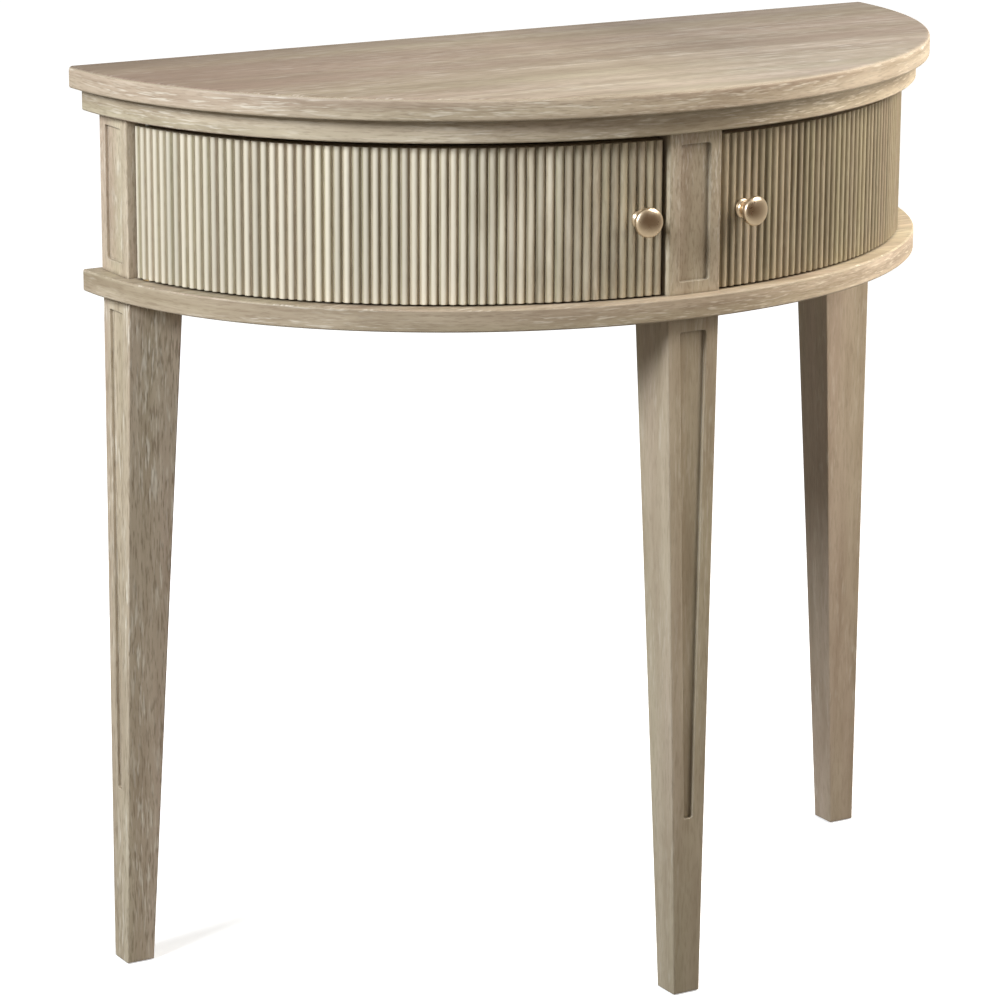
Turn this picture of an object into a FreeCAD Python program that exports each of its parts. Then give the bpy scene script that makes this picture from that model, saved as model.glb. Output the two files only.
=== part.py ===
import FreeCAD, Part
import math
import os

# Half-round console table with two curved, reeded doors.
# Millimetres, +Z up, front towards -Y, right towards +X.
# The origin is on the floor, midway across and midway from front to back.

V = FreeCAD.Vector

# Overall sizes
top_width = 914.0
top_depth = 405.0
overall_height = 889.0

# The three half-round boards
top_thickness = 21.0
top_edge_round = 4.0
top_under_round = 2.5
sub_top_thickness = 22.0
sub_top_inset = 13.0
base_thickness = 21.0
base_inset = 10.5
board_edge_ease = 1.2
case_height = 153.0

# Stiles, the posts between the base and the sub-top
centre_stile_width = 57.0
end_stile_width = 58.0
stile_thickness = 28.0
stile_edge_round = 1.2
end_stile_inset = 28.0
end_stile_back_set = 5.0
centre_stile_inset = 24.0

# Legs
leg_top_width = 57.0
leg_foot_width = 29.2
leg_splay = 8.4
leg_edge_round = 1.2
leg_back_set = 8.0
end_leg_inset = 27.5
front_leg_inset = 24.2
leg_panel_low = 179.0
leg_panel_top_rail = 15.0
leg_panel_frame = 13.5

# Sunk panels in the stiles and the legs
stile_panel_frame = 12.0
panel_sink = 3.5
panel_corner = 2.5

# Doors
crest_inset = 26.5
reed_count = 60
reed_height = 3.2
reed_clear = 0.1
core_thickness = 15.5
under_gap = 1.6
over_gap = 6.5
side_gap = 2.5
middle_gap = 4.0

# Door pivots
pin_radius = 2.5
pin_in_door = 18.0
pin_in_board = 9.0
pin_to_end = 10.0
pin_depth = 6.5
pin_clear = 0.3
fit_clear = 0.15
swing_clear = 0.6
bush_radius = 4.6
bush_length = 11.0
bush_flange_radius = 6.8
bush_play = 0.3

# Knobs and their screws
knob_reed_count = 2
knob_reed_share = 0.68
knob_up = 74.5
knob_seat = 0.1
knob_rose_radius = 9.0
knob_rose_thickness = 2.0
knob_collar_radius = 7.4
knob_collar_height = 2.2
knob_stem_radius = 5.2
knob_taper = 3.2
knob_neck_height = 12.4
knob_head_radius = 14.0
knob_rim_low = 17.4
knob_rim_high = 19.0
knob_height = 24.0
knob_dome_share = 0.72
knob_under_share = 0.6
knob_screw_radius = 2.0
knob_screw_bite = 9.0
knob_screw_head_radius = 4.0
knob_screw_head_height = 2.4
knob_counterbore = 3.0

# Door stop, magnets and strike plates
stop_width = 96.0
stop_thickness = 14.0
catch_x = 40.0
catch_down = 28.0
magnet_radius = 5.0
magnet_bite = 8.0
strike_radius = 6.0
strike_thickness = 1.5
strike_stand = 0.5
catch_play = 0.4

# Back panel, housed in grooves
back_thickness = 9.0
back_tongue = 5.0

# Studs, dowels, screws and glides
stud_radius = 4.0
stud_bite = 42.0
dowel_radius = 3.8
dowel_bite = 24.0
dowel_spread = 18.0
top_dowel_bite = 16.0
screw_inset = 95.0
screw_shares = (-0.75, -0.45, -0.15, 0.15, 0.45, 0.75)
screw_radius = 2.1
screw_bite = 12.0
screw_head_radius = 4.4
screw_head_height = 2.8
glide_radius = 8.0
glide_thickness = 5.0
glide_stand = 1.5

# How many pairs of arcs draw each plan curve, and how finely its length is measured
curve_spans = 6
length_steps = 48

# Places worked out from the sizes above
back_y = top_depth / 2
sub_top_high = overall_height - top_thickness
sub_top_low = sub_top_high - sub_top_thickness
base_high = sub_top_low - case_height
base_low = base_high - base_thickness
door_low = base_high + under_gap
door_high = sub_top_low - over_gap
foot_inset = crest_inset + reed_height
inner_inset = foot_inset + core_thickness
end_stile_x = top_width / 2 - end_stile_inset
end_stile_y = back_y - end_stile_back_set - end_stile_width / 2
centre_stile_y = back_y - top_depth + centre_stile_inset
end_leg_x = top_width / 2 - end_leg_inset - leg_top_width / 2
end_leg_y = back_y - leg_back_set - leg_top_width / 2
front_leg_y = back_y - top_depth + front_leg_inset + leg_top_width / 2
stop_y = centre_stile_y + stile_thickness
door_end_y = end_stile_y - end_stile_width / 2 - side_gap
quarter_turn = math.pi / 2


def plan_point(inset, angle, level=0):
    """Point on a board's outline; the angle runs from the front centre to the right end."""
    x = (top_width / 2 - inset) * math.sin(angle)
    y = back_y - (top_depth - inset) * math.cos(angle)
    return V(x, y, level)


def plan_normal(inset, angle):
    """Outward direction at a point of the outline."""
    across = math.sin(angle) / (top_width / 2 - inset)
    forward = math.cos(angle) / (top_depth - inset)
    return V(across, -forward, 0).normalize()


def plan_tangent(inset, angle):
    """Direction in which the outline runs from left to right."""
    normal = plan_normal(inset, angle)
    return V(-normal.y, normal.x, 0)


def angle_at_x(inset, x):
    """Angle at which the outline passes a given x."""
    return math.asin(x / (top_width / 2 - inset))


def angle_at_y(inset, y):
    """Angle at which the right half of the outline passes a given y."""
    return math.acos((back_y - y) / (top_depth - inset))


def arc_within(start, corner, end):
    """Arc that touches the lines from its two ends to a corner."""
    middle = (start + end) / 2
    half = start.distanceToPoint(middle)
    rise = corner.distanceToPoint(middle)
    sag = half * math.tan(math.atan2(rise, half) / 2)
    return Part.Arc(start, middle + (corner - middle).normalize() * sag, end).toShape()


def plan_curve(inset, start, end):
    """Edges along the outline between two angles, in pairs of arcs that run on smoothly."""
    step = (end - start) / curve_spans
    way = math.copysign(1, step)
    edges = []
    for count in range(curve_spans):
        first = start + step * count
        near = plan_point(inset, first)
        far = plan_point(inset, first + step)
        leaving = plan_tangent(inset, first) * way
        arriving = plan_tangent(inset, first + step) * way
        chord = far - near
        bend = 1 - leaving.dot(arriving)
        run = chord.dot(leaving + arriving)
        reach = (math.sqrt(run * run + 2 * bend * chord.dot(chord)) - run) / (2 * bend)
        join = (near + far + (leaving - arriving) * reach) / 2
        edges.append(arc_within(near, near + leaving * reach, join))
        edges.append(arc_within(join, far - arriving * reach, far))
    return edges


def even_angles(inset, start, end, count):
    """Angles that divide a stretch of the outline into equal lengths."""
    fine = count * length_steps
    angles = [start + (end - start) * step / fine for step in range(fine + 1)]
    points = [plan_point(inset, angle) for angle in angles]
    run = [0]
    for before, after in zip(points, points[1:]):
        run.append(run[-1] + before.distanceToPoint(after))
    picked = []
    place = 0
    for part in range(count):
        wanted = run[-1] * part / count
        while run[place + 1] < wanted:
            place += 1
        picked.append(angles[place])
    return picked + [end]


def extruded(edges, low, high):
    """Upright solid on an outline drawn at floor level."""
    solid = Part.Face(Part.Wire(edges)).extrude(V(0, 0, high - low))
    solid.translate(V(0, 0, low))
    return solid


def rod(radius, start, end):
    """Round bar between two points."""
    return Part.makeCylinder(radius, start.distanceToPoint(end), start, end - start)


def upright_rod(radius, spot, low, high):
    """Round upright bar over a spot in plan."""
    return rod(radius, V(spot.x, spot.y, low), V(spot.x, spot.y, high))


def box_between(low, high):
    """Box from its low corner to its high corner."""
    size = high - low
    return Part.makeBox(size.x, size.y, size.z, low)


def drilled(shape, radius, spots, low, high):
    """Shape with an upright hole at each spot."""
    return shape.cut([upright_rod(radius + fit_clear, spot, low, high) for spot in spots])


def mirrored(shape):
    """The same piece on the left-hand side."""
    return shape.mirror(V(0, 0, 0), V(1, 0, 0))


def flipped(spots):
    """The same spots on the left-hand side."""
    return [V(-spot.x, spot.y, spot.z) for spot in spots]


def half_round_board(inset, low, high):
    """Board with a straight back and a half-elliptical front."""
    front = plan_curve(inset, -quarter_turn, quarter_turn)
    back = Part.makeLine(plan_point(inset, quarter_turn), plan_point(inset, -quarter_turn))
    return extruded(front + [back], low, high)


def front_edges(board, level):
    """The arcs of a board's front edge at one level."""
    edges = []
    for edge in board.Edges:
        flat = abs(edge.BoundBox.ZMax - level) < fit_clear and abs(edge.BoundBox.ZMin - level) < fit_clear
        if flat and isinstance(edge.Curve, Part.Circle):
            edges.append(edge)
    return edges


def softened(board, level, radius):
    """Board with the curved front edge at one level rounded over."""
    return board.makeFillet(radius, front_edges(board, level))


def eased(board, level):
    """Board with the sharp front edge at one level taken off."""
    return board.makeChamfer(board_edge_ease, front_edges(board, level))


def tapered_block(low, high, back_low, back_high, face_low, face_high, half_low, half_high):
    """Flat-sided block between two levels; its face looks towards +X."""
    block = Part.makeWedge(
        back_low, low, -half_low, -half_high, back_high, face_low, high, half_low, half_high, face_high)
    block.rotate(V(0, 0, 0), V(1, 0, 0), math.degrees(quarter_turn))
    return block


def sunk_panel(low, high, half_low, half_high, face_low, face_high):
    """Cutter for a sunk panel in a face that looks towards +X."""
    cutter = tapered_block(
        low, high, face_low - panel_sink, face_high - panel_sink,
        face_low + panel_sink, face_high + panel_sink, half_low, half_high)
    outward = []
    for edge in cutter.Edges:
        bounds = edge.BoundBox
        if bounds.XLength > panel_sink and bounds.YLength < panel_sink and bounds.ZLength < panel_sink:
            outward.append(edge)
    return cutter.makeFillet(panel_corner, outward)


def stile(width):
    """Post with a sunk panel; its outward face looks towards +X and lies on the YZ plane."""
    half = width / 2
    post = box_between(V(-stile_thickness, -half, base_high), V(0, half, sub_top_low))
    corners = [edge for edge in post.Edges if edge.BoundBox.ZLength > case_height / 2]
    post = post.makeFillet(stile_edge_round, corners)
    inside = half - stile_panel_frame
    low = base_high + stile_panel_frame
    return post.cut(sunk_panel(low, sub_top_low - stile_panel_frame, inside, inside, 0, 0))


def leg_half_width(level):
    """Half the width of a leg at a height above the floor."""
    share = (level - glide_stand) / (base_low - glide_stand)
    return (leg_foot_width + (leg_top_width - leg_foot_width) * share) / 2


def leg_face(level):
    """How far the outward face of a leg stands from the middle of its top."""
    share = (level - glide_stand) / (base_low - glide_stand)
    return leg_top_width / 2 + leg_splay * (1 - share)


def leg():
    """Tapered leg, outward face towards +X, the middle of its top over the origin."""
    foot_face = leg_face(glide_stand)
    top_face = leg_face(base_low)
    post = tapered_block(
        glide_stand, base_low, foot_face - leg_foot_width, top_face - leg_top_width,
        foot_face, top_face, leg_foot_width / 2, leg_top_width / 2)
    corners = [edge for edge in post.Edges if edge.BoundBox.ZLength > base_low / 2]
    post = post.makeFillet(leg_edge_round, corners)
    low = leg_panel_low
    high = base_low - leg_panel_top_rail
    half_low = leg_half_width(low) - leg_panel_frame
    half_high = leg_half_width(high) - leg_panel_frame
    post = post.cut(sunk_panel(low, high, half_low, half_high, leg_face(low), leg_face(high)))
    foot = V(leg_face(glide_stand) - leg_half_width(glide_stand), 0, 0)
    return drilled(post, glide_radius, [foot], 0, glide_thickness)


def glide():
    """Round glide under a leg built the same way round."""
    foot = V(leg_face(glide_stand) - leg_half_width(glide_stand), 0, 0)
    return upright_rod(glide_radius, foot, 0, glide_thickness)


def at_right(shape, x, y):
    """Piece moved to the right-hand end."""
    placed = shape.copy()
    placed.translate(V(x, y, 0))
    return placed


def at_front(shape, y):
    """Piece turned to look forwards and moved to the front centre."""
    placed = shape.copy()
    placed.rotate(V(0, 0, 0), V(0, 0, 1), -math.degrees(quarter_turn))
    placed.translate(V(0, y, 0))
    return placed


def post_spots(middle, along):
    """Where the stud and the two dowels of a post stand in plan."""
    return [middle], [middle + along * dowel_spread, middle - along * dowel_spread]


def door_angles(inset):
    """Angles at which a door starts, beside the centre stile, and ends, by the end stile."""
    start = angle_at_x(inset, centre_stile_width / 2 + middle_gap)
    return start, angle_at_y(inset, door_end_y)


def pin_spot():
    """Where the right-hand door's pivot stands in plan."""
    inset = foot_inset + pin_depth
    return plan_point(inset, angle_at_y(inset, door_end_y - pin_to_end))


def swing_cutter():
    """Takes off what would catch the end stile as the right-hand door turns."""
    pin = pin_spot()
    reach = end_stile_width
    block = box_between(V(pin.x - reach, pin.y, base_high), V(pin.x + reach, pin.y + reach, sub_top_low))
    return block.cut(upright_rod(pin_to_end + side_gap - swing_clear, pin, base_low, sub_top_high))


def knob_frame():
    """Seat of the right-hand knob on the reeds, and the way it points."""
    edges = even_angles(foot_inset, *door_angles(foot_inset), reed_count)
    near = edges[knob_reed_count]
    angle = near + (edges[knob_reed_count + 1] - near) * knob_reed_share
    return plan_point(crest_inset, angle, base_high + knob_up), plan_normal(crest_inset, angle)


def door_drill():
    """Hole for the knob screw, with a flat seat for its head on the inside."""
    seat, outward = knob_frame()
    inside = reed_height + core_thickness
    behind = seat - outward * (inside + reed_height)
    hole = rod(knob_screw_radius + fit_clear, behind, seat + outward * reed_height)
    face = seat - outward * (inside - knob_counterbore)
    bore = rod(knob_screw_head_radius + fit_clear, seat - outward * (inside + core_thickness), face)
    return hole.fuse(bore)


def strike_place():
    """Middle of the strike plate's back, in the inner face of the right-hand door."""
    spot = plan_point(inner_inset, angle_at_x(inner_inset, catch_x), door_high - catch_down)
    return spot + V(0, strike_stand - strike_thickness, 0)


def door_core():
    """Curved leaf of the right-hand door, with one flat on its face behind each reed."""
    start, end = door_angles(foot_inset)
    faces = [plan_point(foot_inset, angle) for angle in even_angles(foot_inset, start, end, reed_count)]
    inner_start, inner_end = door_angles(inner_inset)
    outline = Part.makePolygon(faces).Edges
    outline.append(Part.makeLine(faces[-1], plan_point(inner_inset, inner_end)))
    outline.extend(plan_curve(inner_inset, inner_end, inner_start))
    outline.append(Part.makeLine(plan_point(inner_inset, inner_start), faces[0]))
    core = extruded(outline, door_low, door_high)
    pin = pin_spot()
    strike = strike_place()
    core = core.cut([
        swing_cutter(),
        door_drill(),
        upright_rod(pin_radius + fit_clear, pin, base_high, door_low + pin_in_door),
        upright_rod(pin_radius + fit_clear, pin, door_high - pin_in_door, sub_top_low),
        rod(strike_radius + fit_clear, strike, strike + V(0, core_thickness, 0)),
    ])
    return core


def door_reeds():
    """The row of half-round reeds on the right-hand door, each a strip of its own."""
    start, end = door_angles(foot_inset)
    faces = [plan_point(foot_inset, angle) for angle in even_angles(foot_inset, start, end, reed_count)]
    tools = [swing_cutter(), door_drill()]
    reeds = []
    for left, right in zip(faces, faces[1:]):
        along = (right - left).normalize()
        outward = V(along.y, -along.x, 0)
        first = left + along * reed_clear
        last = right - along * reed_clear
        crest = (first + last) / 2 + outward * reed_height
        back = Part.makeLine(last, first)
        reed = extruded([Part.Arc(first, crest, last).toShape(), back], door_low, door_high)
        reeds.append(reed.cut(tools))
    return Part.makeCompound(reeds)


def pivot_pins():
    """Upper and lower pivot pins of the right-hand door."""
    pin = pin_spot()
    low = upright_rod(pin_radius, pin, base_high - pin_in_board, door_low + pin_in_door)
    high = upright_rod(pin_radius, pin, door_high - pin_in_door, sub_top_low + pin_in_board)
    return Part.makeCompound([low, high])


def pivot_bushes():
    """Flanged bushes that the right-hand door's pins turn in."""
    pin = pin_spot()
    collar = under_gap - bush_play
    low = upright_rod(bush_radius, pin, base_high - bush_length, base_high)
    low = low.fuse(upright_rod(bush_flange_radius, pin, base_high, base_high + collar))
    high = upright_rod(bush_radius, pin, sub_top_low, sub_top_low + bush_length)
    high = high.fuse(upright_rod(bush_flange_radius, pin, sub_top_low - collar, sub_top_low))
    hole = pin_radius + pin_clear
    low = low.cut(upright_rod(hole, pin, base_high - pin_in_board - bush_play, sub_top_low))
    high = high.cut(upright_rod(hole, pin, base_high, sub_top_low + pin_in_board + bush_play))
    return [low, high]


def bush_holes(board):
    """Board bored for the bushes of both doors."""
    spots = [pin_spot()] + flipped([pin_spot()])
    board = drilled(board, bush_radius, spots, base_high - bush_length, base_high)
    return drilled(board, bush_radius, spots, sub_top_low, sub_top_low + bush_length)


def knob():
    """Mushroom knob turned about its own axis, seated on the right-hand door."""
    rose = V(knob_rose_radius, 0, knob_rose_thickness)
    collar_low = V(knob_collar_radius, 0, knob_rose_thickness)
    collar_high = V(knob_collar_radius, 0, knob_rose_thickness + knob_collar_height)
    foot = V(knob_stem_radius, 0, knob_rose_thickness + knob_collar_height + knob_taper)
    neck = V(knob_stem_radius, 0, knob_neck_height)
    under_rise = knob_neck_height + (knob_rim_low - knob_neck_height) * knob_under_share
    under = V((knob_stem_radius + knob_head_radius) / 2, 0, under_rise)
    rim_low = V(knob_head_radius, 0, knob_rim_low)
    rim_high = V(knob_head_radius, 0, knob_rim_high)
    top = V(0, 0, knob_height)
    rise = knob_height - knob_rim_high
    ball = (knob_head_radius * knob_head_radius + rise * rise) / (rise + rise)
    out = knob_head_radius * knob_dome_share
    shoulder = V(out, 0, knob_height - ball + math.sqrt(ball * ball - out * out))
    outline = [
        Part.makeLine(V(0, 0, 0), V(knob_rose_radius, 0, 0)),
        Part.makeLine(V(knob_rose_radius, 0, 0), rose),
        Part.makeLine(rose, collar_low),
        Part.makeLine(collar_low, collar_high),
        Part.makeLine(collar_high, foot),
        Part.makeLine(foot, neck),
        Part.Arc(neck, under, rim_low).toShape(),
        Part.makeLine(rim_low, rim_high),
        Part.Arc(rim_high, shoulder, top).toShape(),
        Part.makeLine(top, V(0, 0, 0)),
    ]
    turned = Part.Face(Part.Wire(outline)).revolve(V(0, 0, 0), V(0, 0, 1), math.degrees(quarter_turn * 4))
    turned = turned.cut(upright_rod(knob_screw_radius + fit_clear, V(0, 0, 0), 0, knob_screw_bite))
    seat, outward = knob_frame()
    turned.Placement = FreeCAD.Placement(seat + outward * knob_seat, FreeCAD.Rotation(V(0, 0, 1), outward))
    return turned


def knob_screw():
    """Screw from inside the right-hand door into its knob."""
    seat, outward = knob_frame()
    face = seat - outward * (reed_height + core_thickness - knob_counterbore)
    shank = rod(knob_screw_radius, face, seat + outward * (knob_screw_bite - fit_clear))
    head = rod(knob_screw_head_radius, face - outward * knob_screw_head_height, face)
    return shank.fuse(head)


def magnet():
    """Catch magnet facing the right-hand door's strike plate."""
    strike = strike_place()
    start = strike + V(0, strike_thickness + catch_play, 0)
    return rod(magnet_radius, start, V(start.x, stop_y + magnet_bite, start.z))


def door_stop():
    """Batten behind the centre stile that the doors close against."""
    half = stop_width / 2
    batten = box_between(V(-half, stop_y, base_high), V(half, stop_y + stop_thickness, sub_top_low))
    spot = strike_place()
    starts = [V(x, stop_y, spot.z) for x in (spot.x, -spot.x)]
    return batten.cut([rod(magnet_radius + fit_clear, s, s + V(0, magnet_bite, 0)) for s in starts])


def back_panel(slack):
    """Back panel with tongues in the boards and stiles; slack widens it into its own groove."""
    half = end_stile_x - stile_thickness + back_tongue + slack
    near = back_y - end_stile_back_set - end_stile_width / 4
    low = V(-half, near - back_thickness - slack, base_high - back_tongue - slack)
    return box_between(low, V(half, near + slack, sub_top_low + back_tongue + slack))


def top_screw(spot):
    """Countersunk screw up through the sub-top into the top."""
    head = Part.makeCone(screw_head_radius, screw_radius, screw_head_height, V(spot.x, spot.y, sub_top_low))
    return head.fuse(upright_rod(screw_radius, spot, sub_top_low, sub_top_high + screw_bite))


def screw_hole(spot):
    """Hole that a top screw sits in."""
    wide = screw_head_radius + fit_clear
    narrow = screw_radius + fit_clear
    cone = Part.makeCone(wide, narrow, screw_head_height, V(spot.x, spot.y, sub_top_low))
    return cone.fuse(upright_rod(narrow, spot, sub_top_low, sub_top_high + screw_bite + fit_clear))


def build():
    """All the pieces by name."""
    end_middle = V(end_stile_x - stile_thickness / 2, end_stile_y, 0)
    front_middle = V(0, centre_stile_y + stile_thickness / 2, 0)
    right_studs, right_dowels = post_spots(end_middle, V(0, 1, 0))
    front_studs, front_dowels = post_spots(front_middle, V(1, 0, 0))
    studs = right_studs + flipped(right_studs) + front_studs
    dowels = right_dowels + flipped(right_dowels) + front_dowels
    screws = [plan_point(screw_inset, quarter_turn * share) for share in screw_shares]
    groove = back_panel(fit_clear)
    screw_holes = [screw_hole(spot) for spot in screws]

    def joined(post):
        """Post or leg bored for its stud and dowels."""
        post = drilled(post, stud_radius, studs, base_low - stud_bite, base_high + stud_bite)
        post = drilled(post, dowel_radius, dowels, base_low - dowel_bite, base_high + dowel_bite)
        return drilled(post, dowel_radius, dowels, sub_top_low - dowel_bite, sub_top_low + top_dowel_bite)

    top = half_round_board(0, sub_top_high, overall_height)
    top = softened(top, overall_height, top_edge_round)
    top = softened(top, sub_top_high, top_under_round)
    sub_top = half_round_board(sub_top_inset, sub_top_low, sub_top_high)
    sub_top = eased(sub_top, sub_top_low)
    base = half_round_board(base_inset, base_low, base_high)
    base = eased(eased(base, base_high), base_low)

    right_stile = joined(at_right(stile(end_stile_width), end_stile_x, end_stile_y)).cut(groove)
    right_leg = joined(at_right(leg(), end_leg_x, end_leg_y))
    right_glide = at_right(glide(), end_leg_x, end_leg_y)
    bushes = pivot_bushes()
    right = {
        "door_core": door_core(),
        "door_reeds": door_reeds(),
        "pivot_pins": pivot_pins(),
        "knob": knob(),
        "knob_screw": knob_screw(),
        "strike_plate": rod(strike_radius, strike_place(), strike_place() + V(0, strike_thickness, 0)),
        "end_stile": right_stile,
        "leg": right_leg,
    }
    pieces = {
        "table_top": top.cut(screw_holes),
        "sub_top": bush_holes(joined(sub_top)).cut(screw_holes + [groove]),
        "base_board": bush_holes(joined(base)).cut(groove),
        "back_panel": back_panel(0),
        "centre_stile": joined(at_front(stile(centre_stile_width), centre_stile_y)),
        "front_leg": joined(at_front(leg(), front_leg_y)),
        "door_stop": door_stop(),
        "catch_magnets": Part.makeCompound([magnet(), mirrored(magnet())]),
        "pivot_bushes": Part.makeCompound(bushes + [mirrored(bush) for bush in bushes]),
        "leg_glides": Part.makeCompound(
            [right_glide, mirrored(right_glide), at_front(glide(), front_leg_y)]),
        "leg_studs": Part.makeCompound(
            [upright_rod(stud_radius, spot, base_low - stud_bite, base_high + stud_bite) for spot in studs]),
        "leg_dowels": Part.makeCompound(
            [upright_rod(dowel_radius, spot, base_low - dowel_bite, base_high + dowel_bite)
             for spot in dowels]),
        "stile_dowels": Part.makeCompound(
            [upright_rod(dowel_radius, spot, sub_top_low - dowel_bite, sub_top_low + top_dowel_bite)
             for spot in dowels]),
        "top_screws": Part.makeCompound([top_screw(spot) for spot in screws]),
    }
    for name, shape in right.items():
        pieces["right_" + name] = shape
        pieces["left_" + name] = mirrored(shape)
    return pieces


os.makedirs("parts", exist_ok=True)
for name, shape in build().items():
    shape.exportStep("parts/" + name + ".step")
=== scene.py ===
"""Half-round console table in limed oak, with two curved and reeded doors.

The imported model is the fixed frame. This file gives its pieces their finishes, lays the reeds
on the doors, turns the knobs and sets up the studio: floor, light and camera.
"""

import logging
import math
from collections.abc import Mapping, Sequence
from dataclasses import dataclass, field
from enum import Enum

import bmesh
import bpy
from mathutils import Matrix, Vector


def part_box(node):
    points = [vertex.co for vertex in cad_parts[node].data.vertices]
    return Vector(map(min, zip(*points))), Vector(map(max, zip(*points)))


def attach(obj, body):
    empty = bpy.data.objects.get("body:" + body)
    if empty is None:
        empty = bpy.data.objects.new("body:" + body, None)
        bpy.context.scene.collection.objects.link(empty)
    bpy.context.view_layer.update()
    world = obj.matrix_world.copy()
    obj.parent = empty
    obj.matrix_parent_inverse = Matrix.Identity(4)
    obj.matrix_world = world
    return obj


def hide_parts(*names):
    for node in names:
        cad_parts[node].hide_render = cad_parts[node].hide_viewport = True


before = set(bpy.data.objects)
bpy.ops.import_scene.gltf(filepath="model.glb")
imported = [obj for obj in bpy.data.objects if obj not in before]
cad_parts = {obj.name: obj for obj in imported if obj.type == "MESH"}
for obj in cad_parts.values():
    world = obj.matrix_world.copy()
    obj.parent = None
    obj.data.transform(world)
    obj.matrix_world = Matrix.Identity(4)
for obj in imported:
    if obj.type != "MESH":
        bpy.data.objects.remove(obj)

Triple = tuple[float, float, float]
Colour = Triple
Range = tuple[float, float]
# Where a change starts and ends, then the value at its start and at its end
Ramp = tuple[float, float, float, float]
Feed = float | int | bool | tuple | Vector | bpy.types.NodeSocket | bpy.types.ID

LOG = logging.getLogger("console_table")
REED_TONE = "reed_tone"
REED_CREST = "reed_crest"
QUARTER_TURN = math.radians(90.0)
PLAIN: Colour = (1.0, 1.0, 1.0)
COOL: Colour = (0.94, 1.0, 1.06)
WARM: Colour = (1.0, 0.95, 0.87)

# Blender's names for the kinds of socket
NUMBER = "NodeSocketFloat"
COUNT = "NodeSocketInt"
PLACE = "NodeSocketVector"

# A number that each point of a mesh carries
POINT_NUMBER = {"data_type": "FLOAT", "domain": "POINT"}

# The middle of a noise's values, and the sums on vectors that give a number
NOISE_MIDDLE = 0.5
NUMBER_SUMS = ("LENGTH", "DOT_PRODUCT")

# How many rays look for edges and corners
EDGE_SAMPLES = 6


class MixKind(Enum):
    """What a Mix node mixes, with the places of its inputs and of its result."""

    COLOUR = ("RGBA", (0, 6, 7), 2)
    VECTOR = ("VECTOR", (0, 4, 5), 1)


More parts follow.
